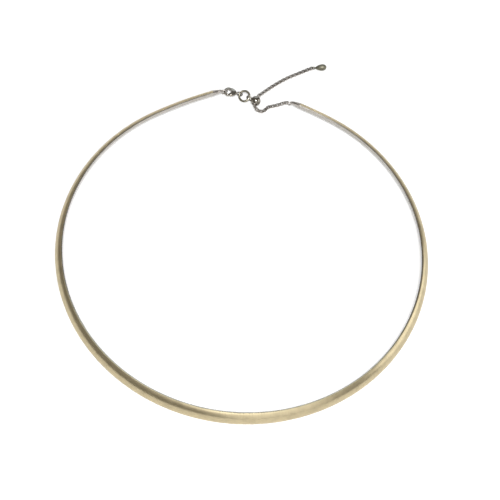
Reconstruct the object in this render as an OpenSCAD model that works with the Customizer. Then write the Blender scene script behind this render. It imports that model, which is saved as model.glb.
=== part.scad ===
// Omega necklace, lying closed on a flat surface.
// A stiff two-tone plate band, gold outside and silver inside, with a lobster clasp
// at one end and an adjuster at the other: a box chain that slides through a ball.
// Millimetres. The origin is the middle of the neck opening, on the surface.
// The front of the necklace is at -Y, the clasp at +Y, +Z is up.

/* [Loop] */
// Radius of the band's middle line, seen from above
loop_r = 68.5; // [60:0.5:80]
// Radius that both ends of the band are bent to
end_bend_r = 150; // [110:5:300]
// Where the straighter left end starts, in degrees from +X
left_start = 128; // [122:0.5:132]
// Where the straighter right end starts, in degrees from +X
right_start = 66; // [60:0.5:70]
// Length of the straighter left end
left_run = 26; // [22:0.5:30]
// Length of the straighter right end
right_run = 13.4; // [10:0.2:18]

/* [Band] */
// Width of the band, from edge to edge
band_w = 5.2; // [4:0.1:6]
// Height of the domed gold face above the middle line
crown = 1.25; // [0.9:0.05:1.5]
// Depth of the flatter silver face below the middle line
back = 0.85; // [0.65:0.05:1.1]
// Thickness of the band's two edges
edge_t = 0.7; // [0.4:0.05:0.9]
// Lean of the face: 0 lies flat, 90 stands upright
lean = 65; // [50:1:80]

/* [End caps] */
// Length of the tapered tip of each end cap
tip_len = 4.3; // [3:0.1:5.5]
// Half width that each tip narrows to
tip_half_w = 0.6; // [0.4:0.05:1]
// Half thickness that each tip narrows to
tip_half_t = 0.42; // [0.35:0.05:0.6]
// Length of the tongue that holds each cap in the band
tongue_len = 2.2; // [1.5:0.1:3]
// Width of that tongue
tongue_w = 1.8; // [1:0.1:2.4]
// Thickness of that tongue
tongue_t = 0.6; // [0.4:0.05:0.8]
// Gap between the band and each cap, and round the tongue
cap_gap = 0.05; // [0.03:0.01:0.1]
// Radius of the wire of the ring on the left cap
left_ring_wire = 0.3; // [0.25:0.01:0.35]
// Radius of that ring, to the middle of its wire
left_ring_r = 1.1; // [1.05:0.01:1.2]
// Radius of the wire of the ring on the right cap
right_ring_wire = 0.25; // [0.2:0.01:0.27]
// Radius of that ring, to the middle of its wire
right_ring_r = 0.85; // [0.8:0.01:0.9]
// Height of the right cap's ring over the surface
right_ring_z = 1.3; // [1.15:0.01:1.5]
// How far each ring is sunk into the metal that it is soldered to
solder_depth = 0.2; // [0.15:0.01:0.25]

/* [Clasp] */
// Height of the clasp and the rings over the surface
clasp_z = 1.5; // [1.45:0.01:1.7]
// Turn of the clasp, seen from above
clasp_turn = -5; // [-8:0.5:2]
// How far round the claw the left ring hangs, towards the lever
hang = 16; // [10:1:22]
// Radius of the claw's round end
claw_r = 1.95; // [1.9:0.01:2]
// Radius of the hole in the claw
claw_hole_r = 1.2; // [1.15:0.01:1.25]
// Distance from the eye to the middle of the claw
claw_reach = 4.6; // [4.4:0.05:4.7]
// Thickness of the clasp at its thickest
claw_t = 1.7; // [1.5:0.05:1.9]
// Radius that both faces of the clasp are domed to
claw_dome_r = 5.2; // [4.8:0.1:7]
// How far the domes' highest point is from the claw's middle, towards the eye
dome_back = 0.8; // [0.6:0.05:1]
// Half width of the housing between the claw and the eye
housing_half_w = 1.8; // [1.7:0.02:1.86]
// How far the housing's widest place is past the middle of the clasp, towards the claw
housing_shift = 1.3; // [1.2:0.02:1.4]
// Radius of the wire of the eye
eye_wire = 0.3; // [0.26:0.01:0.33]
// Radius of the eye, to the middle of its wire
eye_r = 1.1; // [1.07:0.01:1.14]
// Thickness of the lever
lever_t = 0.7; // [0.55:0.05:0.8]
// Gap between the lever and the clasp
lever_gap = 0.09; // [0.07:0.01:0.12]
// Radius of the lever's round root
lever_root_r = 0.55; // [0.5:0.01:0.6]
// Length of the lever, from its pin to its nose
lever_len = 2.3; // [2.2:0.02:2.4]
// How far the lever's pin is from the claw's middle, towards the eye
pin_back = 1.39; // [1.34:0.01:1.44]
// How far it is from the clasp's middle line, towards the neck
pin_side = 0.8; // [0.76:0.01:0.84]
// Radius of the lever's pin
pin_r = 0.2; // [0.18:0.01:0.22]
// Clearance round the pin in the lever
pin_clearance = 0.04; // [0.03:0.01:0.06]
// Radius of the two round cheeks that hold the pin
cheek_r = 0.9; // [0.85:0.01:0.95]
// Radius of the slot between the cheeks
slot_r = 0.95; // [0.9:0.01:1]

/* [Jump ring] */
// Radius of the jump ring, to the middle of its wire
jump_r = 2.1; // [1.9:0.05:2.3]
// Radius of its wire
jump_wire = 0.4; // [0.35:0.01:0.41]
// Tilt of the jump ring: its front side rests lower
jump_tilt = 27; // [15:1:28]
// Direction from the clasp to the slider, seen from above
jump_heading = -20; // [-25:1:-15]
// How far the middle of the eye hangs outside the middle of the wire
eye_play = 0.12; // [0.08:0.01:0.14]
// How far the middle of the slider's ring hangs outside it
slider_play = 0.22; // [0.15:0.01:0.25]
// Turn of the slider's ring from that direction
slider_turn = -5; // [-8:1:-2]

/* [Slider] */
// Radius of the slider ball
ball_r = 2; // [1.9:0.05:2.2]
// Radius of the hole through the ball
bore_r = 0.92; // [0.88:0.01:1]
// Direction of that hole, seen from above
bore_heading = 80; // [77:0.5:83]
// Radius of the wire of the slider's ring
slider_ring_wire = 0.31; // [0.27:0.01:0.33]
// Radius of that ring, to the middle of its wire
slider_ring_r = 1.15; // [1.12:0.01:1.17]

/* [Box chain] */
// Length of a link
link_l = 1.52; // [1.5:0.01:1.56]
// Width of a link
link_w = 1.2; // [1.15:0.01:1.25]
// Depth of a link's metal, across its ring
link_d = 0.42; // [0.38:0.01:0.45]
// Thickness of a link's metal
link_t = 0.16; // [0.14:0.01:0.17]
// Cut across each corner of a link
link_cut = 0.26; // [0.2:0.01:0.3]
// Distance from link to link
pitch = 0.96; // [0.95:0.005:0.98]
// Play between an end link and the ring that it hangs on
link_play = 0.12; // [0.08:0.01:0.14]

/* [End drop] */
// Length of the drop
drop_l = 4.9; // [3.5:0.1:6]
// Radius of the drop at its fullest
drop_r = 1.3; // [1.1:0.05:1.5]
// How far its fullest place is towards the round end: 0 puts it in the middle
fullness = 0.7; // [0.5:0.1:1.6]
// Turn of the drop from the chain that holds it, seen from above
drop_turn = -20; // [-24:1:0]
// Radius of the wire of the drop's ring
drop_ring_wire = 0.2; // [0.16:0.01:0.2]
// Radius of that ring, to the middle of its wire
drop_ring_r = 0.64; // [0.62:0.01:0.65]

/* [Hidden] */
$fn = 96;
eps = 0.01;
hair = 0.02;
lap = 0.4;

function polar(r, a) = [r * cos(a), r * sin(a)];

// The radius of the arc from half width a to half width b over length l, level at a.
function taper_r(a, b, l) = (pow(a - b, 2) + l * l) / (2 * (a - b));

// The band's section: two domes and two narrow edges, with corners at +-corner_x.
half_edge = edge_t / 2;
corner_x = sqrt(pow(band_w / 2, 2) - pow(half_edge, 2));
front_r = taper_r(crown, half_edge, corner_x);
back_r = taper_r(back, half_edge, corner_x);
band_z = corner_x * sin(lean) + half_edge * cos(lean);

// Where the band's two ends are, and which way they point, seen from above.
left_sweep = left_run / end_bend_r * 180 / PI;
right_sweep = right_run / end_bend_r * 180 / PI;
left_heading = left_start - left_sweep - 90;
right_heading = right_start + right_sweep + 90;
left_end = polar(loop_r - end_bend_r, left_start) + polar(end_bend_r, left_start - left_sweep);
right_end = polar(loop_r - end_bend_r, right_start) + polar(end_bend_r, right_start + right_sweep);

// The middles of the rings on the end caps.
left_ring_x = cap_gap + tip_len + left_ring_r - solder_depth;
right_ring_x = cap_gap + tip_len + right_ring_r - solder_depth;
left_ring = left_end + polar(left_ring_x, left_heading);
right_ring = right_end + polar(right_ring_x, right_heading);

// The left ring holds the middle of the claw's wire.
claw_mid = left_ring + polar((claw_r + claw_hole_r) / 2, clasp_turn + hang);
eye = claw_mid + polar(claw_reach, clasp_turn);
pin_at = [claw_reach - pin_back, -pin_side];
root_half = lever_root_r * 0.6;
housing_x = claw_reach / 2 + housing_shift;
housing_half_l = housing_x - eye_r;
housing_r = (pow(housing_half_l, 2) + pow(housing_half_w, 2)) / (2 * housing_half_w);
dome_x = claw_reach - dome_back;

// The rings and the ball follow from the eye.
jump = eye + polar(jump_r + eye_play, jump_heading);
slider_ring = jump + polar(jump_r + slider_play, jump_heading);
slider_reach = ball_r + slider_ring_r - solder_depth;
slider_heading = jump_heading + slider_turn;
ball = slider_ring + polar(sqrt(pow(slider_reach, 2) - pow(ball_r - clasp_z, 2)), slider_heading);

// The chain's route, from the ring on the right cap, through the ball, to the drop.
// In the straight run each row is a share of the way from the loop to the ring, a shift in y and z.
// In the loop and the tail each row is x and y from the ball's middle, and z from the surface.
run_route = [[0.87, 0.17, 1.22], [0.7, 0.19, 0.98], [0.51, 0.14, 0.74], [0.25, 0.07, 0.63]];
loop_route = [[5.81, -1.08, 0.62], [5.17, -1.47, 0.62], [4.63, -2.11, 0.62], [4.23, -2.8, 0.63],
    [3.47, -3.6, 0.7], [2.44, -3.98, 0.9], [1.33, -3.85, 1.22], [0.41, -3.25, 1.6],
    [-0.14, -2.29, 1.92], [-0.21, -1.18, 2]];
tail_route = [[0.23, 1.28, 2], [0.57, 2.34, 1.9], [1.55, 3.9, 1.55], [2.41, 5.12, 1.15],
    [3.78, 6.87, 0.8], [5.3, 8.6, 0.65], [6.85, 10.22, 0.62], [9.67, 12.89, 0.62], [12.54, 15.26, 0.62],
    [15.46, 17.29, 0.62], [18.39, 19.32, 0.66], [20.4, 20.6, 0.8], [22.75, 21.95, 0.86]];
chain_start = right_ring + polar(right_ring_r, right_heading);
loop_end = [ball.x + loop_route[0].x, ball.y + loop_route[0].y];
route = concat(
    [[chain_start.x, chain_start.y, right_ring_z]],
    [for (p = run_route) let (q = loop_end + p.x * (chain_start - loop_end)) [q.x, q.y + p.y, p.z]],
    [for (p = loop_route) [ball.x + p.x, ball.y + p.y, p.z]],
    [[ball.x, ball.y, ball_r]],
    [for (p = tail_route) [ball.x + p.x, ball.y + p.y, p.z]]);

// A smooth curve through the route's points, and the length along it.
steps = 10;
half_look = 0.3;
function bend(a, b, c, d, t) = (2 * b + (c - a) * t + (2 * a - 5 * b + 4 * c - d) * t * t
    + (3 * b - a - 3 * c + d) * t * t * t) / 2;
last_point = len(route) - 1;
curve = [for (i = [0 : last_point - 1]) for (k = [0 : steps - 1])
    bend(route[max(i - 1, 0)], route[i], route[i + 1], route[min(i + 2, last_point)], k / steps)];
gaps = [for (i = [1 : len(curve) - 1]) norm(curve[i] - curve[i - 1])];
along = [for (i = 0, s = 0; i < len(curve); s = s + (i < len(gaps) ? gaps[i] : 0), i = i + 1) s];
along_x = [for (i = [0 : len(curve) - 1]) [along[i], curve[i].x]];
along_y = [for (i = [0 : len(curve) - 1]) [along[i], curve[i].y]];
along_z = [for (i = [0 : len(curve) - 1]) [along[i], curve[i].z]];
function place(s) = [lookup(s, along_x), lookup(s, along_y), lookup(s, along_z)];
function direction(s) = let (v = place(s + half_look) - place(s - half_look)) v / norm(v);
function turn_to(v) = [0, -asin(v.z), atan2(v.y, v.x)];

// The first link holds the right cap's ring, and the last one the drop's ring, both lying flat.
first_link_at = link_l / 2 - link_t - link_play - right_ring_wire;
route_len = along[len(along) - 1];
links = 2 * floor((route_len - first_link_at - link_l) / pitch / 2) + 1;
last_link_at = first_link_at + (links - 1) * pitch;
drop_peak = acos(-fullness / (2 + fullness));
drop_hold_at = last_link_at + link_l / 2 - link_t - link_play - drop_ring_wire;

// Turns a section drawn with X across the face and Y out of it to its lean.
module leaned() {
    rotate(180 - lean)
        mirror([0, 1])
            children();
}

module band_section(inset) {
    intersection() {
        circle(band_w / 2 - inset);
        translate([0, crown - front_r])
            circle(front_r - inset);
        translate([0, back_r - back])
            circle(back_r - inset);
    }
}

// The section in its place: X points outward from the neck, Y is up.
module placed_section(inset = 0) {
    translate([0, band_z])
        leaned()
            band_section(inset);
}

// A straighter end, from inside the main arc. It is finer by a hair, so that the two join cleanly.
module band_end(start, sweep) {
    into = lap / end_bend_r * 180 / PI * sign(sweep);
    rotate(start)
        translate([loop_r - end_bend_r, 0])
            rotate(min(sweep, -into))
                rotate_extrude(angle = abs(sweep + into), $fn = 360)
                    translate([end_bend_r, 0])
                        placed_section(hair);
}

// Puts what is drawn along +X, with +Y outward from the neck, at an end of the band.
module at_left_end() {
    translate(left_end)
        rotate(left_heading)
            children();
}

module at_right_end() {
    translate(right_end)
        rotate(right_heading)
            mirror([0, 1, 0])
                children();
}

// A flat bar in the middle of the section, between two places along the band.
module tongue(from, to, w, t) {
    translate([from, 0, 0])
        rotate([90, 0, 90])
            linear_extrude(to - from)
                translate([0, band_z])
                    leaned()
                        square([w, t], center = true);
}

module ring(r, wire) {
    rotate_extrude()
        translate([r, 0])
            circle(wire, $fn = 48);
}

module upright_ring(r, wire) {
    rotate([90, 0, 0])
        ring(r, wire);
}

// Two arcs that narrow from half widths above and below to a tip, along +X.
module ogive(above, below, end) {
    above_r = taper_r(above, end, tip_len);
    below_r = taper_r(below, end, tip_len);
    intersection() {
        translate([0, above - above_r])
            circle(above_r, $fn = 360);
        translate([0, below_r - below])
            circle(below_r, $fn = 360);
    }
}

module cap_tip() {
    translate([cap_gap, 0, 0])
        intersection() {
            rotate([90, 0, 90])
                linear_extrude(tip_len)
                    placed_section();
            translate([0, 0, band_z])
                rotate([-lean, 0, 0])
                    linear_extrude(band_w * 2, center = true)
                        ogive(band_w / 2, band_w / 2, tip_half_w);
            translate([0, 0, band_z])
                rotate([90 - lean, 0, 0])
                    linear_extrude(band_w * 2, center = true)
                        ogive(crown, back, tip_half_t);
        }
}

module end_cap(ring_x, ring_z, r, wire) {
    cap_tip();
    tongue(cap_gap - tongue_len, 2 * cap_gap, tongue_w, tongue_t);
    translate([ring_x, 0, ring_z])
        upright_ring(r, wire);
}

module omega_band() color("goldenrod") {
    slot_w = tongue_w + 2 * cap_gap;
    slot_t = tongue_t + 2 * cap_gap;
    difference() {
        union() {
            rotate(left_start)
                rotate_extrude(angle = 360 - left_start + right_start, $fn = 360)
                    translate([loop_r, 0])
                        placed_section();
            band_end(left_start, -left_sweep);
            band_end(right_start, right_sweep);
        }
        at_left_end()
            tongue(-tongue_len - cap_gap, tongue_len, slot_w, slot_t);
        at_right_end()
            tongue(-tongue_len - cap_gap, tongue_len, slot_w, slot_t);
    }
}

module left_end_cap() color("silver")
    at_left_end()
        end_cap(left_ring_x, clasp_z, left_ring_r, left_ring_wire);

module right_end_cap() color("silver")
    at_right_end()
        end_cap(right_ring_x, right_ring_z, right_ring_r, right_ring_wire);

// The clasp's own frame: the eye's middle, +X to the claw, +Y away from the neck's middle.
module at_clasp() {
    translate([eye.x, eye.y, clasp_z])
        rotate(clasp_turn)
            mirror([1, 0, 0])
                children();
}

// A plate outline raised to the clasp's thickness, with both faces domed.
module domed_plate(t) {
    intersection() {
        linear_extrude(t, center = true)
            children();
        translate([dome_x, 0, claw_dome_r - t / 2])
            sphere(claw_dome_r, $fn = 180);
        translate([dome_x, 0, t / 2 - claw_dome_r])
            sphere(claw_dome_r, $fn = 180);
    }
}

// The plain outline of the closed clasp: the claw's round end and a housing that narrows to the eye.
module clasp_outline() {
    translate([claw_reach, 0])
        circle(claw_r);
    intersection() {
        translate([housing_x, housing_r - housing_half_w])
            circle(housing_r, $fn = 180);
        translate([housing_x, housing_half_w - housing_r])
            circle(housing_r, $fn = 180);
    }
}

// The side of the claw that the lever closes, out to a round parting line about the pin.
module gate(margin) {
    root = root_half + margin;
    intersection() {
        difference() {
            clasp_outline();
            translate([claw_reach, 0])
                circle(claw_hole_r);
        }
        translate(pin_at)
            circle(lever_len + margin);
        translate([pin_at.x - root, -claw_r * 2])
            square([lever_len * 2, claw_r * 2 + pin_at.y + root]);
    }
}

module clasp_body() color("silver")
    at_clasp()
        difference() {
            union() {
                domed_plate(claw_t)
                    difference() {
                        clasp_outline();
                        translate([claw_reach, 0])
                            circle(claw_hole_r);
                    }
                upright_ring(eye_r, eye_wire);
            }
            // The gate, open through the whole thickness, and the slot for the lever's root.
            linear_extrude(claw_t * 2, center = true)
                difference() {
                    gate(lever_gap);
                    translate(pin_at)
                        circle(cheek_r);
                }
            translate([pin_at.x, pin_at.y, 0])
                cylinder(h = lever_t + 2 * lever_gap, r = slot_r, center = true);
            translate([pin_at.x, pin_at.y, 0])
                cylinder(h = claw_t * 2, r = pin_r, center = true);
        }

module clasp_lever() color("silver")
    at_clasp()
        difference() {
            linear_extrude(lever_t, center = true) {
                gate(0);
                translate(pin_at)
                    circle(lever_root_r);
            }
            translate([pin_at.x, pin_at.y, 0])
                cylinder(h = lever_t * 2, r = pin_r + pin_clearance, center = true);
        }

module clasp_pin() color("gray")
    at_clasp()
        translate([pin_at.x, pin_at.y, 0])
            cylinder(h = claw_t * 0.8, r = pin_r - eps, center = true);

module jump_ring() color("silver")
    translate([jump.x, jump.y, clasp_z])
        rotate(jump_heading)
            rotate([jump_tilt, 0, 0])
                ring(jump_r, jump_wire);

module slider_ball() color("silver") {
    difference() {
        translate([ball.x, ball.y, ball_r])
            sphere(ball_r);
        translate([ball.x, ball.y, ball_r])
            rotate([0, 90, bore_heading])
                cylinder(h = ball_r * 3, r = bore_r, center = true);
    }
    translate([slider_ring.x, slider_ring.y, clasp_z])
        rotate(slider_heading)
            upright_ring(slider_ring_r, slider_ring_wire);
}

// A link lying flat, its length along X.
module link() {
    linear_extrude(link_d, center = true)
        difference() {
            polygon(chamfered(link_l, link_w, link_cut));
            polygon(chamfered(link_l - 2 * link_t, link_w - 2 * link_t, link_cut / 2));
        }
}

function chamfered(l, w, c) = [for (p = [[1, 1], [-1, 1], [-1, -1], [1, -1]]) each
    let (a = [p.x * (l / 2 - c), p.y * w / 2], b = [p.x * l / 2, p.y * (w / 2 - c)])
        p.x * p.y > 0 ? [b, a] : [a, b]];

module box_chain() color("silver")
    for (i = [0 : links - 1]) {
        s = first_link_at + i * pitch;
        translate(place(s))
            rotate(turn_to(direction(s)))
                rotate([90 * (i % 2), 0, 0])
                    link();
    }

// The drop's outline, from its pointed start to its round end.
function drop_half(t) = sin(t) * pow(sin(t / 2), fullness);
drop_points = [for (i = [0 : 18]) let (t = i * 10) [drop_r * drop_half(t) / drop_half(drop_peak),
    drop_l * (1 - cos(t)) / 2]];

module end_drop() color("silver") {
    held = place(drop_hold_at);
    ahead = direction(drop_hold_at + drop_ring_r);
    heading = atan2(ahead.y, ahead.x) + drop_turn;
    at = [held.x + drop_ring_r * cos(heading), held.y + drop_ring_r * sin(heading),
        place(drop_hold_at + drop_ring_r).z];
    hold = drop_ring_r - drop_ring_wire;
    rise = asin((drop_r + eps - at.z) / (hold + drop_l * (1 - cos(drop_peak)) / 2));
    translate(at)
        rotate(heading) {
            upright_ring(drop_ring_r, drop_ring_wire);
            rotate([0, 90 - rise, 0])
                translate([0, 0, hold])
                    rotate_extrude()
                        polygon(drop_points);
        }
}

omega_band();
left_end_cap();
right_end_cap();
clasp_body();
clasp_lever();
clasp_pin();
jump_ring();
slider_ball();
box_chain();
end_drop();
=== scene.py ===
"""The looks of an omega necklace that lies closed on a pale floor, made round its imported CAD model.

Lengths are in millimetres, as in the part's source, and become metres when a mesh is made.
Angles are in degrees. Directions on the floor count from +X towards +Y.
"""

import math
import random

import bmesh
import bpy
from mathutils import Matrix, Vector


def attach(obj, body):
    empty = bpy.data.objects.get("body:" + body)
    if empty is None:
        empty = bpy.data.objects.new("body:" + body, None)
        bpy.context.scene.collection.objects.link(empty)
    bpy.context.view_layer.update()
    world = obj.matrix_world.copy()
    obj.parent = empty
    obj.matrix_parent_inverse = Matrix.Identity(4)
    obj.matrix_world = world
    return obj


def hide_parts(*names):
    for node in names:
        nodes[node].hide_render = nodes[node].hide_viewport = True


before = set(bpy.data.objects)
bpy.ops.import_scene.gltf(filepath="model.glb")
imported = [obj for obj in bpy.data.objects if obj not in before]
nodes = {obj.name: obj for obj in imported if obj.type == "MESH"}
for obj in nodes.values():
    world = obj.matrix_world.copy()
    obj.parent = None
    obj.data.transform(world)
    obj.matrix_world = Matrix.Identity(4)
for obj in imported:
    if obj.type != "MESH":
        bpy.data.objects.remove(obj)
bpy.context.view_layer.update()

MM = 0.001
NECKLACE = "necklace"
LEVER = "lever"

# The band, as in the source
LOOP_R = 68.5
END_BEND_R = 150
LEFT_START = 128
RIGHT_START = 66
LEFT_RUN = 26
RIGHT_RUN = 13.4
BAND_W = 5.2
CROWN = 1.25
BACK = 0.85
EDGE_T = 0.7
LEAN = 65

# The band's plates, which only the scene shows
PLATE_PITCH = 1.05
PLATE_GAP = 0.012
PLATE_BEVEL = 0.03
PLATE_TILT = 0.12
PLATE_SHARP = 28
SEAM = 0.05
DOME_STEPS = 12

# A plate's lip as a share of the band's half width, and how far in and up its folded edge lies
LIP_SHARE = 0.998
FOLD_IN = 0.1
FOLD_SHARE = 0.4

# The strip inside the plates
CORE_INSET = 0.12
CORE_HALF_T = 0.3
CORE_FLAT = 1
CORE_STEPS = 420

# End caps
CAP_GAP = 0.05
TIP_LEN = 4.3
TIP_HALF_W = 0.6
TIP_HALF_T = 0.42
SOLDER_DEPTH = 0.2
LEFT_RING_R = 1.1
LEFT_RING_WIRE = 0.3
RIGHT_RING_R = 0.85
RIGHT_RING_WIRE = 0.25
RIGHT_RING_Z = 1.3
COLLAR_LEN = 0.55
COLLAR_STEP = 0.06
COLLAR_BEVEL = 0.05
CAP_STEPS = 12
CAP_DOME_STEPS = 14
CAP_DOME_SHARE = 0.985
CAP_EDGE_SHARE = 0.75

# How far each row at the cap's end lies past the tip's length, and how far inside its outline
CAP_ROUNDING = [(-0.03, 0), (0.06, 0.12), (0.1, 0.3)]

# Clasp, jump ring and slider
CLASP_Z = 1.5
CLASP_TURN = -5
HANG = 16
CLAW_R = 1.95
CLAW_HOLE_R = 1.2
CLAW_REACH = 4.6
PIN_BACK = 1.39
PIN_SIDE = 0.8
PIN_R = 0.2
PIN_HALF_LEN = 0.68
PIN_PLAY = 0.01
RIVET_BEVEL = 0.06
RIVET_SHARE = 0.7
JUMP_R = 2.1
JUMP_WIRE = 0.43
JUMP_TILT = 27
JUMP_HEADING = -20
JUMP_CUT = 0.9
JUMP_CUT_TURN = 75
EYE_PLAY = 0.12
SLIDER_PLAY = 0.22
SLIDER_TURN = -5
BALL_R = 2
BORE_R = 0.92
BORE_HEADING = 80
BORE_RIM = 0.14
BALL_STEPS = 32
SLIDER_RING_R = 1.15
SLIDER_RING_WIRE = 0.31

# How much wider than the bore each row at its mouths is, and how deep it lies in the mouth
MOUTH_ROUNDING = [(0.084, -0.02), (0.03, 0.06), (0, 0.16)]

# Box chain and drop
LINK_L = 1.52
LINK_W = 1.34
LINK_D = 0.6
LINK_T = 0.19
LINK_CUT = 0.24
LINK_CORNER_SHARE = 0.85
LINK_CORNER_STEPS = 3
PITCH = 0.96
LINK_PLAY = 0.12
LINK_ROUND = 0.045
CLEAR_T = 0.16
DROP_L = 4.9
DROP_R = 1.3
FULLNESS = 0.7
DROP_TURN = -20
DROP_RING_R = 0.64
DROP_RING_WIRE = 0.2
DROP_LIFT = 0.01
DROP_STEPS = 36
BEAD_R = 0.3
BEAD_HALF_L = 0.2
BEAD_AT = 0.34
BEAD_STEPS = 8


def polar(r, a):
    """The point at a radius and a direction on the floor."""
    return Vector((r * math.cos(math.radians(a)), r * math.sin(math.radians(a))))


def taper_r(a, b, length):
    """The radius of the arc from half width a to half width b over that length, level at a."""
    return ((a - b) ** 2 + length**2) / (2 * (a - b))


# Where the pieces are, worked out as in the source
HALF_EDGE = EDGE_T / 2
CORNER_X = math.sqrt((BAND_W / 2) ** 2 - HALF_EDGE**2)
BAND_Z = CORNER_X * math.sin(math.radians(LEAN)) + HALF_EDGE * math.cos(math.radians(LEAN))
LEFT_SWEEP = math.degrees(LEFT_RUN / END_BEND_R)
RIGHT_SWEEP = math.degrees(RIGHT_RUN / END_BEND_R)
LEFT_HEADING = LEFT_START - LEFT_SWEEP - 90
RIGHT_HEADING = RIGHT_START + RIGHT_SWEEP + 90
LEFT_END = polar(LOOP_R - END_BEND_R, LEFT_START) + polar(END_BEND_R, LEFT_START - LEFT_SWEEP)
RIGHT_END = polar(LOOP_R - END_BEND_R, RIGHT_START) + polar(END_BEND_R, RIGHT_START + RIGHT_SWEEP)
LEFT_RING_X = CAP_GAP + TIP_LEN + LEFT_RING_R - SOLDER_DEPTH
RIGHT_RING_X = CAP_GAP + TIP_LEN + RIGHT_RING_R - SOLDER_DEPTH
LEFT_RING = LEFT_END + polar(LEFT_RING_X, LEFT_HEADING)
RIGHT_RING = RIGHT_END + polar(RIGHT_RING_X, RIGHT_HEADING)
CLAW_MID = LEFT_RING + polar((CLAW_R + CLAW_HOLE_R) / 2, CLASP_TURN + HANG)
EYE = CLAW_MID + polar(CLAW_REACH, CLASP_TURN)
JUMP = EYE + polar(JUMP_R + EYE_PLAY, JUMP_HEADING)
SLIDER_RING = JUMP + polar(JUMP_R + SLIDER_PLAY, JUMP_HEADING)
SLIDER_HEADING = JUMP_HEADING + SLIDER_TURN
SLIDER_REACH = BALL_R + SLIDER_RING_R - SOLDER_DEPTH
BALL = SLIDER_RING + polar(math.sqrt(SLIDER_REACH**2 - (BALL_R - CLASP_Z) ** 2), SLIDER_HEADING)


def mesh_object(name, verts, faces, material, body=NECKLACE, slot="silver", smooth=35):
    """A mesh piece in metres from points in millimetres, with its material and body. The slot is not used.
    """
    mesh = bpy.data.meshes.new(name)
    mesh.from_pydata([Vector(v) * MM for v in verts], [], faces)
    work = bmesh.new()
    work.from_mesh(mesh)
    bmesh.ops.recalc_face_normals(work, faces=work.faces)
    for face in work.faces:
        face.smooth = True
    for edge in work.edges:
        if edge.is_manifold and edge.calc_face_angle(0) > math.radians(smooth):
            edge.smooth = False
    work.to_mesh(mesh)
    work.free()
    piece = bpy.data.objects.new(name, mesh)
    bpy.context.scene.collection.objects.link(piece)
    mesh.materials.append(material)
    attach(piece, body)
    return piece


class Shape:
    """Points and faces of one piece, gathered from several closed parts."""

    def __init__(self):
        self.verts = []
        self.faces = []

    def tube(self, rings, closed=False):
        """Joins rings of equally many points. An open tube gets a face at each end."""
        start = len(self.verts)
        size = len(rings[0])
        for ring in rings:
            self.verts.extend(ring)
        spans = len(rings) if closed else len(rings) - 1
        for i in range(spans):
            a = start + i * size
            b = start + (i + 1) % len(rings) * size
            for k in range(size):
                n = (k + 1) % size
                self.faces.append((a + k, a + n, b + n, b + k))
        if not closed:
            last = start + (len(rings) - 1) * size
            self.faces.append(tuple(range(start, start + size)))
            self.faces.append(tuple(range(last, last + size)))

    def torus(self, r, wire, place, around=56, sides=18, gap=0):
        """A ring of round wire in place's XY plane, or with a saw cut of that many degrees."""
        rings = []
        count = around + 1 if gap else around
        for i in range(count):
            a = gap / 2 + (360 - gap) * i / around
            rings.append([
                place @ Vector((*polar(r + wire * math.cos(math.tau * k / sides), a),
                                wire * math.sin(math.tau * k / sides)))
                for k in range(sides)
            ])
        self.tube(rings, closed=not gap)

    def lathe(self, outline, place, around=48):
        """Turns an outline of (radius, height) rows about place's Z. A radius of 0 is a pole."""
        rows = []
        for r, z in outline:
            if r == 0:
                self.verts.append(place @ Vector((0, 0, z)))
                rows.append([len(self.verts) - 1])
            else:
                rows.append(list(range(len(self.verts), len(self.verts) + around)))
                self.verts.extend(place @ Vector((*polar(r, 360 * k / around), z)) for k in range(around))
        for a, b in zip(rows, rows[1:]):
            for k in range(around):
                n = (k + 1) % around
                corners = [a[k % len(a)], a[n % len(a)], b[n % len(b)], b[k % len(b)]]
                self.faces.append(tuple(dict.fromkeys(corners)))

    def make(self, name, material, **words):
        """Makes the piece from what was gathered."""
        return mesh_object(name, self.verts, self.faces, material, **words)


def at(point, z, heading=0, *turns):
    """A place over a point of the floor, turned to a heading and then by (axis, angle) pairs."""
    place = Matrix.Translation((point.x, point.y, z)) @ Matrix.Rotation(math.radians(heading), 4, "Z")
    for axis, angle in turns:
        place = place @ Matrix.Rotation(math.radians(angle), 4, axis)
    return place


UPRIGHT = ("X", 90)


# Materials

PATCH_SCALE = 260
SCRATCH_SCALE = 900
SCRATCH_STRENGTH = 0.1
SCRATCH_HEIGHT = -0.4
WAVE_SCALE = 180
WAVE_ROUGHNESS = 0.06
BUMP_STRENGTH = 0.05
BUMP_DISTANCE_M = 0.00002


def group(name, inputs, outputs):
    """A new shader node group with named float or colour sockets."""
    tree = bpy.data.node_groups.new(name, "ShaderNodeTree")
    kinds = {"value": "NodeSocketFloat", "colour": "NodeSocketColor"}
    for label, kind in inputs:
        tree.interface.new_socket(label, in_out="INPUT", socket_type=kinds[kind])
    for label, kind in outputs:
        tree.interface.new_socket(label, in_out="OUTPUT", socket_type=kinds[kind])
    return tree, tree.nodes.new("NodeGroupInput"), tree.nodes.new("NodeGroupOutput")


def node(tree, kind, settings=None, **inputs):
    """A node with its settings, and its inputs set to a value or linked to a socket.

    An input goes by its label, with _ for a space, or by i and its number.
    """
    made = tree.nodes.new(kind)
    for key, value in (settings or {}).items():
        setattr(made, key, value)
    for key, value in inputs.items():
        label = key.replace("_", " ")
        by_number = key[0] == "i" and key[1:].isdigit()
        socket = made.inputs[int(key[1:]) if by_number else label]
        if isinstance(value, bpy.types.NodeSocket):
            tree.links.new(value, socket)
        else:
            socket.default_value = value
    return made


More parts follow.
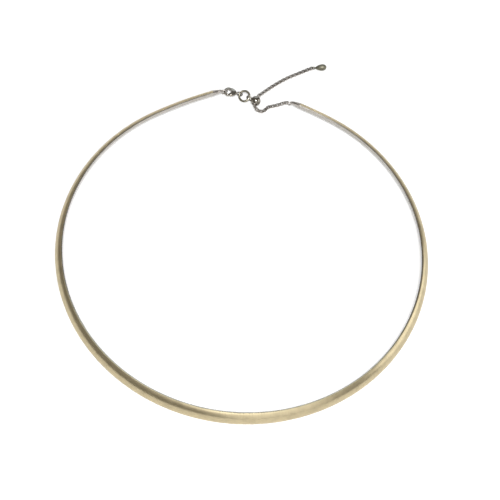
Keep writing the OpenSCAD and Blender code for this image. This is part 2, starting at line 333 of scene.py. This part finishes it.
def tarnish_group():
    """Dark tarnish that gathers in patches and in the hollows between raised metal."""
    tree, given, result = group(
        "tarnish",
        [("Metal", "colour"), ("Tarnish", "colour"), ("Amount", "value"), ("Patch Scale", "value")],
        [("Colour", "colour")],
    )
    where = node(tree, "ShaderNodeTexCoord").outputs["Object"]
    patches = node(tree, "ShaderNodeTexNoise", {"noise_dimensions": "3D"}, Vector=where,
                   Scale=given.outputs["Patch Scale"], Detail=4, Roughness=0.6)
    patchy = node(tree, "ShaderNodeMapRange", Value=patches.outputs["Fac"], From_Min=0.42, From_Max=0.7)
    edges = node(tree, "ShaderNodeNewGeometry").outputs["Pointiness"]
    hollow = node(tree, "ShaderNodeMapRange", Value=edges, From_Min=0.5, From_Max=0.44)
    both = node(tree, "ShaderNodeMath", {"operation": "MAXIMUM"}, i0=patchy.outputs["Result"],
                i1=hollow.outputs["Result"])
    mask = node(tree, "ShaderNodeMath", {"operation": "MULTIPLY"}, i0=both.outputs[0],
                i1=given.outputs["Amount"])
    mixed = node(tree, "ShaderNodeMix", {"data_type": "RGBA"}, i0=mask.outputs[0],
                 i6=given.outputs["Metal"], i7=given.outputs["Tarnish"])
    tree.links.new(mixed.outputs[2], result.inputs["Colour"])
    return tree


def wear_group():
    """Fine hairline scratches and a faint waviness, as roughness and as bump height."""
    tree, given, result = group(
        "polish_wear",
        [("Roughness", "value"), ("Scratch Scale", "value"), ("Scratch Strength", "value")],
        [("Roughness", "value"), ("Height", "value")],
    )
    where = node(tree, "ShaderNodeTexCoord").outputs["Object"]
    stretched = node(tree, "ShaderNodeMapping", Vector=where, Rotation=(0.4, 0.9, 0.6), Scale=(1, 9, 1))
    lines = node(tree, "ShaderNodeTexNoise", Vector=stretched.outputs[0],
                 Scale=given.outputs["Scratch Scale"], Detail=3, Roughness=0.7)
    fine = node(tree, "ShaderNodeMapRange", Value=lines.outputs["Fac"], From_Min=0.55, From_Max=0.75)
    waves = node(tree, "ShaderNodeTexNoise", Vector=where, Scale=WAVE_SCALE, Detail=2)
    rough = node(tree, "ShaderNodeMath", {"operation": "MULTIPLY_ADD"}, i0=fine.outputs["Result"],
                 i1=given.outputs["Scratch Strength"], i2=given.outputs["Roughness"])
    rougher = node(tree, "ShaderNodeMath", {"operation": "MULTIPLY_ADD"}, i0=waves.outputs["Fac"],
                   i1=WAVE_ROUGHNESS, i2=rough.outputs[0])
    height = node(tree, "ShaderNodeMath", {"operation": "MULTIPLY_ADD"}, i0=fine.outputs["Result"],
                  i1=SCRATCH_HEIGHT, i2=waves.outputs["Fac"])
    tree.links.new(rougher.outputs[0], result.inputs["Roughness"])
    tree.links.new(height.outputs[0], result.inputs["Height"])
    return tree


TARNISH = tarnish_group()
WEAR = wear_group()


def metal(name, colour, tarnish, amount, roughness):
    """A polished metal with its own tarnish, hairline scratches and faint waves."""
    made = bpy.data.materials.new(name)
    made.use_nodes = True
    tree = made.node_tree
    shader = tree.nodes["Principled BSDF"]
    shader.inputs["Metallic"].default_value = 1
    stain = node(tree, "ShaderNodeGroup", {"node_tree": TARNISH}, Metal=(*colour, 1), Tarnish=(*tarnish, 1),
                 Amount=amount, Patch_Scale=PATCH_SCALE)
    wear = node(tree, "ShaderNodeGroup", {"node_tree": WEAR}, Roughness=roughness,
                Scratch_Scale=SCRATCH_SCALE, Scratch_Strength=SCRATCH_STRENGTH)
    dents = node(tree, "ShaderNodeBump", Strength=BUMP_STRENGTH, Distance=BUMP_DISTANCE_M,
                 Height=wear.outputs["Height"])
    tree.links.new(stain.outputs["Colour"], shader.inputs["Base Color"])
    tree.links.new(wear.outputs["Roughness"], shader.inputs["Roughness"])
    tree.links.new(dents.outputs["Normal"], shader.inputs["Normal"])
    return made


# Each metal's name, colour, tarnish, amount of tarnish and roughness
GOLD_PLATE = metal("gold_plate", (0.77, 0.66, 0.43), (0.4, 0.34, 0.21), 0.3, 0.26)
SILVER_PLATE = metal("silver_plate", (0.66, 0.63, 0.58), (0.42, 0.38, 0.34), 0.3, 0.22)
CAST_SILVER = metal("cast_silver", (0.46, 0.43, 0.38), (0.16, 0.14, 0.11), 0.6, 0.16)
TIP_SILVER = metal("tip_silver", (0.62, 0.58, 0.54), (0.34, 0.31, 0.28), 0.45, 0.24)
RING_WIRE = metal("ring_wire", (0.34, 0.32, 0.25), (0.15, 0.13, 0.09), 0.5, 0.24)
CHAIN_SILVER = metal("chain_silver", (0.56, 0.52, 0.48), (0.3, 0.27, 0.25), 0.5, 0.28)
DROP_SILVER = metal("drop_silver", (0.27, 0.26, 0.2), (0.14, 0.13, 0.09), 0.5, 0.5)
PIN_STEEL = metal("pin_steel", (0.6, 0.6, 0.6), (0.3, 0.3, 0.3), 0.3, 0.25)
CORE_WEAVE = metal("core_weave", (0.3, 0.26, 0.2), (0.1, 0.08, 0.06), 0.6, 0.4)


# Band

MAIN_RUN = math.radians(360 - LEFT_START + RIGHT_START) * LOOP_R
BAND_LEN = LEFT_RUN + MAIN_RUN + RIGHT_RUN
LEAN_COS = math.cos(math.radians(180 - LEAN))
LEAN_SIN = math.sin(math.radians(180 - LEAN))


def band_place(s):
    """A point of the band's middle line, s millimetres from its left end, and the way outward."""
    if s < LEFT_RUN:
        centre = polar(LOOP_R - END_BEND_R, LEFT_START)
        radius = END_BEND_R
        angle = LEFT_START - LEFT_SWEEP + math.degrees(s / END_BEND_R)
    elif s < LEFT_RUN + MAIN_RUN:
        centre = Vector((0, 0))
        radius = LOOP_R
        angle = LEFT_START + math.degrees((s - LEFT_RUN) / LOOP_R)
    else:
        centre = polar(LOOP_R - END_BEND_R, RIGHT_START)
        radius = END_BEND_R
        angle = RIGHT_START + math.degrees((s - LEFT_RUN - MAIN_RUN) / END_BEND_R)
    return centre + polar(radius, angle), polar(1, angle)


def leaned(x, y):
    """A point across the face and out of it, as a distance outward from the neck and a rise."""
    return x * LEAN_COS + y * LEAN_SIN, x * LEAN_SIN - y * LEAN_COS


def section(point, outward, outline):
    """An outline across the face and out of it, leaned and put round a point of the middle line."""
    ring = []
    for x, y in outline:
        out, rise = leaned(x, y)
        ring.append((point.x + outward.x * out, point.y + outward.y * out, BAND_Z + rise))
    return ring


def band_ring(s, outline, shrink=0):
    """An outline across the face and out of it, put round the band's middle line at s."""
    point, outward = band_place(s)
    return section(point, outward, [(x * (1 - shrink / 2), y * (1 - shrink)) for x, y in outline])


def dome(height, half_w, edge, count):
    """Points over a dome of that height, from one edge to the other."""
    r = taper_r(height, edge, half_w)
    reach = math.degrees(math.asin(half_w / r))
    return [(r * math.sin(math.radians(a)), height - r + r * math.cos(math.radians(a)))
            for a in (-reach + 2 * reach * i / count for i in range(count + 1))]


def shell_outline(height, side):
    """Half of the band's section: a domed plate whose edges turn in to the seam."""
    top = dome(height, CORNER_X, HALF_EDGE, DOME_STEPS)
    lip = BAND_W / 2 * LIP_SHARE
    fold = CORNER_X - FOLD_IN
    fold_y = SEAM * FOLD_SHARE
    outline = [(-lip, SEAM), *top, (lip, SEAM), (fold, fold_y), (-fold, fold_y)]
    return [(x, y * side) for x, y in outline]


def plates(name, height, side, material, slot, seed):
    """The row of plates on one face of the band, each with softened ends and its own slight tilt."""
    draw = random.Random(seed)
    outline = shell_outline(height, side)
    count = round(BAND_LEN / PLATE_PITCH)
    pitch = BAND_LEN / count
    shape = Shape()
    for i in range(count):
        start = i * pitch + PLATE_GAP / 2
        end = (i + 1) * pitch - PLATE_GAP / 2
        lift = math.tan(math.radians(draw.uniform(-PLATE_TILT, PLATE_TILT))) * pitch / 2
        low = [(x, y - lift if abs(y) > SEAM else y) for x, y in outline]
        high = [(x, y + lift if abs(y) > SEAM else y) for x, y in outline]
        shape.tube([
            band_ring(start, low, PLATE_BEVEL),
            band_ring(start + PLATE_BEVEL, low),
            band_ring(end - PLATE_BEVEL, high),
            band_ring(end, high, PLATE_BEVEL),
        ])
    return shape.make(name, material, slot=slot, smooth=PLATE_SHARP)


def band_core():
    """The woven strip that the plates are folded over, seen only in their joints."""
    half_w = CORNER_X - CORE_INSET
    outline = [(-half_w, -SEAM), (-half_w, SEAM), (-CORE_FLAT, CORE_HALF_T), (CORE_FLAT, CORE_HALF_T),
               (half_w, SEAM), (half_w, -SEAM), (CORE_FLAT, -CORE_HALF_T), (-CORE_FLAT, -CORE_HALF_T)]
    shape = Shape()
    shape.tube([band_ring(BAND_LEN * i / CORE_STEPS, outline) for i in range(CORE_STEPS + 1)])
    shape.make("band_core", CORE_WEAVE)


def tapered(size, tip_size, x):
    """What a size at the band has become x millimetres along the cap, on its way to the tip's size."""
    r = taper_r(size, tip_size, TIP_LEN)
    return size - r + math.sqrt(r**2 - x**2)


def cap_rows():
    """(distance from the band, inset) of the cap's rows: the stepped collar, the taper and the end."""
    taper = TIP_LEN - COLLAR_LEN
    rows = [(0, COLLAR_BEVEL), (COLLAR_BEVEL, 0), (COLLAR_LEN - COLLAR_BEVEL, 0), (COLLAR_LEN, COLLAR_STEP)]
    for i in range(1, CAP_STEPS):
        rows.append((COLLAR_LEN + taper * i / CAP_STEPS, COLLAR_STEP * (1 - i / CAP_STEPS)))
    rows += [(TIP_LEN + past, inset) for past, inset in CAP_ROUNDING]
    return rows


def end_cap(name, node_name, end, heading, flip, ring_x, ring_z, ring_r, ring_wire):
    """A tapered tip with a stepped collar against the band, and its ring."""
    along = polar(1, heading)
    outward = polar(1, heading + 90 * flip)
    shape = Shape()
    rings = []
    for reach, inset in cap_rows():
        x = min(reach, TIP_LEN)
        half_w = tapered(BAND_W / 2, TIP_HALF_W, x) - inset
        front = tapered(CROWN, TIP_HALF_T, x) - inset
        back = tapered(BACK, TIP_HALF_T, x) - inset
        edge = min(HALF_EDGE, CAP_EDGE_SHARE * back)
        face = dome(front, half_w * CAP_DOME_SHARE, edge, CAP_DOME_STEPS)
        under = dome(back, half_w * CAP_DOME_SHARE, edge, CAP_DOME_STEPS)
        under = [(across, -out_of) for across, out_of in reversed(under)]
        outline = [*face, (half_w, 0), *under, (-half_w, 0)]
        rings.append(section(end + along * (CAP_GAP + reach), outward, outline))
    shape.tube(rings)
    shape.torus(ring_r, ring_wire, at(end + along * ring_x, ring_z, heading, UPRIGHT))
    piece = shape.make(name, TIP_SILVER, smooth=30)
    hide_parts(node_name)


# Clasp


def softened(node_name, name, material, body, voxel, rounds):
    """A casting with its edges rounded by polishing: the CAD solid remeshed and smoothed."""
    piece = bpy.data.objects.new(name, nodes[node_name].data.copy())
    bpy.context.scene.collection.objects.link(piece)
    remesh = piece.modifiers.new("remesh", "REMESH")
    remesh.mode = "VOXEL"
    remesh.voxel_size = voxel * MM
    polish = piece.modifiers.new("polish", "SMOOTH")
    polish.factor = 0.5
    polish.iterations = rounds
    depsgraph = bpy.context.evaluated_depsgraph_get()
    final = bpy.data.meshes.new_from_object(piece.evaluated_get(depsgraph))
    piece.modifiers.clear()
    piece.data = final
    for face in final.polygons:
        face.use_smooth = True
    final.materials.clear()
    final.materials.append(material)
    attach(piece, body)
    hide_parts(node_name)


def at_clasp(x, y):
    """A point of the clasp's own frame, seen from above: from its eye, to the claw and outward."""
    turned = Matrix.Rotation(math.radians(CLASP_TURN), 2) @ Vector((-x, y))
    return EYE + turned


def clasp_pin():
    """The pin that the lever turns on, its ends riveted over."""
    shape = Shape()
    place = at(at_clasp(CLAW_REACH - PIN_BACK, -PIN_SIDE), CLASP_Z)
    r = PIN_R - PIN_PLAY
    shaft = PIN_HALF_LEN - RIVET_BEVEL
    top = [(r, shaft), (r * RIVET_SHARE, PIN_HALF_LEN), (0, PIN_HALF_LEN)]
    shape.lathe([(row_r, -z) for row_r, z in reversed(top)] + top, place, around=24)
    piece = shape.make("clasp_rivet", PIN_STEEL)
    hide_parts("clasp_pin")


def jump_ring():
    """The jump ring of round wire, with the saw cut where it was closed."""
    shape = Shape()
    place = at(JUMP, CLASP_Z, JUMP_HEADING, ("X", JUMP_TILT), ("Z", JUMP_CUT_TURN))
    shape.torus(JUMP_R, JUMP_WIRE, place, around=96, sides=24, gap=JUMP_CUT)
    piece = shape.make("wire_jump_ring", RING_WIRE)
    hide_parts("jump_ring")


def slider():
    """The drilled ball with rounded mouths, and the ring soldered to it."""
    mouth = BORE_R + BORE_RIM
    top = math.sqrt(BALL_R**2 - mouth**2)
    first = math.degrees(math.asin(mouth / BALL_R))
    outline = []
    for i in range(BALL_STEPS + 1):
        a = math.radians(first + (180 - 2 * first) * i / BALL_STEPS)
        outline.append((BALL_R * math.sin(a), BALL_R * math.cos(a)))
    outline += [(BORE_R + wider, depth - top) for wider, depth in MOUTH_ROUNDING]
    outline += [(BORE_R + wider, top - depth) for wider, depth in reversed(MOUTH_ROUNDING)]
    outline.append(outline[0])
    shape = Shape()
    shape.lathe(outline, at(BALL, BALL_R, BORE_HEADING, ("Y", 90)), around=72)
    shape.torus(SLIDER_RING_R, SLIDER_RING_WIRE, at(SLIDER_RING, CLASP_Z, SLIDER_HEADING, UPRIGHT))
    piece = shape.make("ball_and_ring", CAST_SILVER, smooth=40)
    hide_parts("slider_ball")


# Chain and drop

# The chain's route, as in the source. In the straight run each row is a share of the way from the loop
# to the ring, and a shift in y and z. Elsewhere it is x and y from the ball's middle, and z.
RUN_ROUTE = [(0.87, 0.17, 1.22), (0.7, 0.19, 0.98), (0.51, 0.14, 0.74), (0.25, 0.07, 0.63)]
LOOP_ROUTE = [(5.81, -1.08, 0.62), (5.17, -1.47, 0.62), (4.63, -2.11, 0.62), (4.23, -2.8, 0.63),
              (3.47, -3.6, 0.7), (2.44, -3.98, 0.9), (1.33, -3.85, 1.22), (0.41, -3.25, 1.6),
              (-0.14, -2.29, 1.92), (-0.21, -1.18, 2)]
TAIL_ROUTE = [(0.23, 1.28, 2), (0.57, 2.34, 1.9), (1.55, 3.9, 1.55), (2.41, 5.12, 1.15),
              (3.78, 6.87, 0.8), (5.3, 8.6, 0.65), (6.85, 10.22, 0.62), (9.67, 12.89, 0.62),
              (12.54, 15.26, 0.62), (15.46, 17.29, 0.62), (18.39, 19.32, 0.66), (20.4, 20.6, 0.8),
              (22.75, 21.95, 0.86)]
ROUTE_STEPS = 10
HALF_LOOK = 0.3


class Route:
    """A smooth curve through the chain's points, read by the length along it."""

    def __init__(self):
        start = RIGHT_RING + polar(RIGHT_RING_R, RIGHT_HEADING)
        loop_end = BALL + Vector(LOOP_ROUTE[0][:2])
        rows = [Vector((start.x, start.y, RIGHT_RING_Z))]
        for share, shift, z in RUN_ROUTE:
            q = loop_end + share * (start - loop_end)
            rows.append(Vector((q.x, q.y + shift, z)))
        for x, y, z in [*LOOP_ROUTE, (0, 0, BALL_R), *TAIL_ROUTE]:
            rows.append(Vector((BALL.x + x, BALL.y + y, z)))
        self.points = []
        last = len(rows) - 1
        for i in range(last):
            a, b, c, d = rows[max(i - 1, 0)], rows[i], rows[i + 1], rows[min(i + 2, last)]
            for k in range(ROUTE_STEPS):
                t = k / ROUTE_STEPS
                self.points.append((2 * b + (c - a) * t + (2 * a - 5 * b + 4 * c - d) * t**2
                                    + (3 * b - a - 3 * c + d) * t**3) / 2)
        self.along = [0]
        for p, q in zip(self.points, self.points[1:]):
            self.along.append(self.along[-1] + (q - p).length)
        self.length = self.along[-1]

    def place(self, s):
        """The point s millimetres along the route, or at its nearer end."""
        s = min(max(s, 0), self.length)
        i = next(k for k in range(1, len(self.along)) if self.along[k] >= s)
        share = (s - self.along[i - 1]) / (self.along[i] - self.along[i - 1])
        return self.points[i - 1].lerp(self.points[i], share)

    def direction(self, s):
        """The way that the route runs at s."""
        return (self.place(s + HALF_LOOK) - self.place(s - HALF_LOOK)).normalized()

    def frame(self, s):
        """The place at s, with X along the route and Y level."""
        v = self.direction(s)
        turn = Matrix.Rotation(math.atan2(v.y, v.x), 4, "Z") @ Matrix.Rotation(-math.asin(v.z), 4, "Y")
        return Matrix.Translation(self.place(s)) @ turn


def link_path():
    """The middle line of a link's metal: a rectangle with cut corners, rounded a little."""
    half_l = (LINK_L - LINK_T) / 2
    half_w = (LINK_W - LINK_T) / 2
    cut = LINK_CUT * LINK_CORNER_SHARE
    path = []
    for quarter, (sx, sy) in enumerate(((1, 1), (-1, 1), (-1, -1), (1, -1))):
        for i in range(LINK_CORNER_STEPS + 1):
            a = math.radians(90 * quarter + 90 * i / LINK_CORNER_STEPS)
            path.append((sx * (half_l - cut) + cut * math.cos(a), sy * (half_w - cut) + cut * math.sin(a)))
    return path


def box_chain(route):
    """Interlocked box links of flat strip with softened edges, every second one turned on its side.

    Gives back how far along the route the last link's middle is.
    """
    first = LINK_L / 2 - CLEAR_T - LINK_PLAY - RIGHT_RING_WIRE
    count = 2 * math.floor((route.length - first - LINK_L) / PITCH / 2) + 1
    half_t = LINK_T / 2
    half_d = LINK_D / 2
    flat_t = half_t - LINK_ROUND
    flat_d = half_d - LINK_ROUND
    strip = [(-half_t, -flat_d), (-half_t, flat_d), (-flat_t, half_d), (flat_t, half_d),
             (half_t, flat_d), (half_t, -flat_d), (flat_t, -half_d), (-flat_t, -half_d)]
    path = link_path()
    shape = Shape()
    for i in range(count):
        place = route.frame(first + i * PITCH) @ Matrix.Rotation(math.radians(90 * (i % 2)), 4, "X")
        rings = []
        for k, (x, y) in enumerate(path):
            before = Vector(path[k - 1])
            after = Vector(path[(k + 1) % len(path)])
            run = (after - before).normalized()
            out = Vector((run.y, -run.x))
            rings.append([place @ Vector((x + out.x * u, y + out.y * u, v)) for u, v in strip])
        shape.tube(rings, closed=True)
    piece = shape.make("box_links", CHAIN_SILVER, smooth=30)
    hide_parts("box_chain")
    return first + (count - 1) * PITCH


def end_drop(route, last_link):
    """The turned drop at the chain's end, with a neck bead, and its soldered ring."""
    hold_at = last_link + LINK_L / 2 - CLEAR_T - LINK_PLAY - DROP_RING_WIRE
    v = route.direction(hold_at + DROP_RING_R)
    heading = math.degrees(math.atan2(v.y, v.x)) + DROP_TURN
    held = route.place(hold_at)
    here = Vector((held.x, held.y)) + polar(DROP_RING_R, heading)
    z = route.place(hold_at + DROP_RING_R).z
    peak = math.acos(-FULLNESS / (2 + FULLNESS))

    def half(t):
        """The drop's half width at t, before it is scaled."""
        return math.sin(t) * math.sin(t / 2) ** FULLNESS

    hold = DROP_RING_R - DROP_RING_WIRE
    widest_at = DROP_L * (1 - math.cos(peak)) / 2
    rise = math.degrees(math.asin((DROP_R + DROP_LIFT - z) / (hold + widest_at)))
    outline = [(0, 0)]
    for i in range(1, DROP_STEPS):
        t = math.pi * i / DROP_STEPS
        outline.append((DROP_R * half(t) / half(peak), DROP_L * (1 - math.cos(t)) / 2))
    outline.append((0, DROP_L))
    bead = [(0, BEAD_AT - BEAD_HALF_L)]
    for i in range(1, BEAD_STEPS):
        t = math.pi * i / BEAD_STEPS
        bead.append((BEAD_R * math.sin(t), BEAD_AT - BEAD_HALF_L * math.cos(t)))
    bead.append((0, BEAD_AT + BEAD_HALF_L))
    shape = Shape()
    place = at(here, z, heading, ("Y", 90 - rise)) @ Matrix.Translation((0, 0, hold))
    shape.lathe(outline, place)
    shape.lathe(bead, place, around=32)
    shape.torus(DROP_RING_R, DROP_RING_WIRE, at(here, z, heading, UPRIGHT), around=40, sides=16)
    piece = shape.make("turned_drop", DROP_SILVER, smooth=40)
    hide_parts("end_drop")


gold = plates("gold_plates", CROWN, 1, GOLD_PLATE, "gold", seed=3)
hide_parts("omega_band")
plates("silver_plates", BACK, -1, SILVER_PLATE, "silver", seed=5)
band_core()
end_cap("left_tip", "left_end_cap", LEFT_END, LEFT_HEADING, 1, LEFT_RING_X, CLASP_Z,
        LEFT_RING_R, LEFT_RING_WIRE)
end_cap("right_tip", "right_end_cap", RIGHT_END, RIGHT_HEADING, -1, RIGHT_RING_X, RIGHT_RING_Z,
        RIGHT_RING_R, RIGHT_RING_WIRE)
softened("clasp_body", "cast_clasp", CAST_SILVER, NECKLACE, voxel=0.045, rounds=6)
softened("clasp_lever", "cast_lever", CAST_SILVER, LEVER, voxel=0.035, rounds=5)
clasp_pin()
jump_ring()
slider()
chain_route = Route()
last_link_at = box_chain(chain_route)
end_drop(chain_route, last_link_at)


# Floor, light and camera

# The floor's grey, and the glow that makes it whiter to the camera than to the metal
FLOOR_HALF = 900
FLOOR_Z = -0.06
FLOOR_GREY = (0.72, 0.72, 0.72, 1)
FLOOR_ROUGHNESS = 0.7
GLOW_TO_METAL = (0.08, 0.08, 0.08, 1)
GLOW_TO_CAMERA = (0.42, 0.42, 0.42, 1)


def floor():
    """A plain pale floor, well past what the camera sees."""
    material = bpy.data.materials.new("pale_floor")
    material.use_nodes = True
    shader = material.node_tree.nodes["Principled BSDF"]
    shader.inputs["Base Color"].default_value = FLOOR_GREY
    shader.inputs["Roughness"].default_value = FLOOR_ROUGHNESS
    shader.inputs["Emission Strength"].default_value = 1
    seen = node(material.node_tree, "ShaderNodeLightPath").outputs["Is Camera Ray"]
    glow = node(material.node_tree, "ShaderNodeMix", {"data_type": "RGBA"}, i0=seen,
                i6=GLOW_TO_METAL, i7=GLOW_TO_CAMERA)
    material.node_tree.links.new(glow.outputs[2], shader.inputs["Emission Color"])
    mesh = bpy.data.meshes.new("floor")
    corners = [(-FLOOR_HALF, -FLOOR_HALF), (FLOOR_HALF, -FLOOR_HALF), (FLOOR_HALF, FLOOR_HALF),
               (-FLOOR_HALF, FLOOR_HALF)]
    mesh.from_pydata([Vector((x, y, FLOOR_Z)) * MM for x, y in corners], [], [(0, 1, 2, 3)])
    mesh.materials.append(material)
    made = bpy.data.objects.new("floor", mesh)
    bpy.context.scene.collection.objects.link(made)


def softbox(name, heading, rise, away, size, brightness, colour=(1, 1, 1)):
    """A soft area light at a heading, a rise and a distance from the necklace's middle, which it faces."""
    light = bpy.data.lights.new(name, "AREA")
    light.shape = "RECTANGLE"
    light.size = size[0] * MM
    light.size_y = size[1] * MM
    light.energy = brightness * math.pi * light.size * light.size_y
    light.color = colour
    lamp = bpy.data.objects.new(name, light)
    floor_spot = polar(away * math.cos(math.radians(rise)), heading)
    place = Vector((floor_spot.x, floor_spot.y, away * math.sin(math.radians(rise)))) * MM
    lamp.location = place
    lamp.rotation_euler = (-place).to_track_quat("-Z", "Y").to_euler()
    bpy.context.scene.collection.objects.link(lamp)


def sky(strength, colour):
    """An even light from all round."""
    world = bpy.data.worlds.new("studio")
    world.use_nodes = True
    background = world.node_tree.nodes["Background"]
    background.inputs["Color"].default_value = (*colour, 1)
    background.inputs["Strength"].default_value = strength
    bpy.context.scene.world = world


# The camera, worked out from the photograph
CAMERA_RISE = 60.684
CAMERA_ROLL = 7.367
CAMERA_AWAY = 450
CAMERA_AIM = (2.687, 0.15, 0)
CAMERA_FOCAL_PX = 1193.97
IMAGE_PX = 500
SENSOR = 36
CLIP_START_M = 0.01


def camera():
    """The camera at the photograph's height, distance and roll."""
    made = bpy.data.cameras.new("camera")
    made.sensor_width = SENSOR
    made.lens = SENSOR * CAMERA_FOCAL_PX / IMAGE_PX
    made.clip_start = CLIP_START_M
    rise = math.radians(CAMERA_RISE)
    roll = math.radians(CAMERA_ROLL)
    forward = Vector((0, math.cos(rise), -math.sin(rise)))
    level = Vector((1, 0, 0))
    upward = level.cross(forward)
    right = level * math.cos(roll) + upward * math.sin(roll)
    up = upward * math.cos(roll) - level * math.sin(roll)
    turn = Matrix((right, up, -forward)).transposed().to_4x4()
    place = (Vector(CAMERA_AIM) - forward * CAMERA_AWAY) * MM
    holder = bpy.data.objects.new("camera", made)
    holder.matrix_world = Matrix.Translation(place) @ turn
    bpy.context.scene.collection.objects.link(holder)
    bpy.context.scene.camera = holder


floor()
sky(strength=0.2, colour=(1, 0.96, 0.9))
softbox("camera_box", heading=-88, rise=68, away=1400, size=(260, 260), brightness=66)
softbox("front_box", heading=-66, rise=29, away=850, size=(720, 800), brightness=0.74)
softbox("right_box", heading=8, rise=19, away=850, size=(760, 480), brightness=1.25)
softbox("back_box", heading=90, rise=25, away=850, size=(800, 480), brightness=0.9,
        colour=(0.82, 0.92, 1))
camera()
bpy.context.scene.view_settings.view_transform = "Standard"
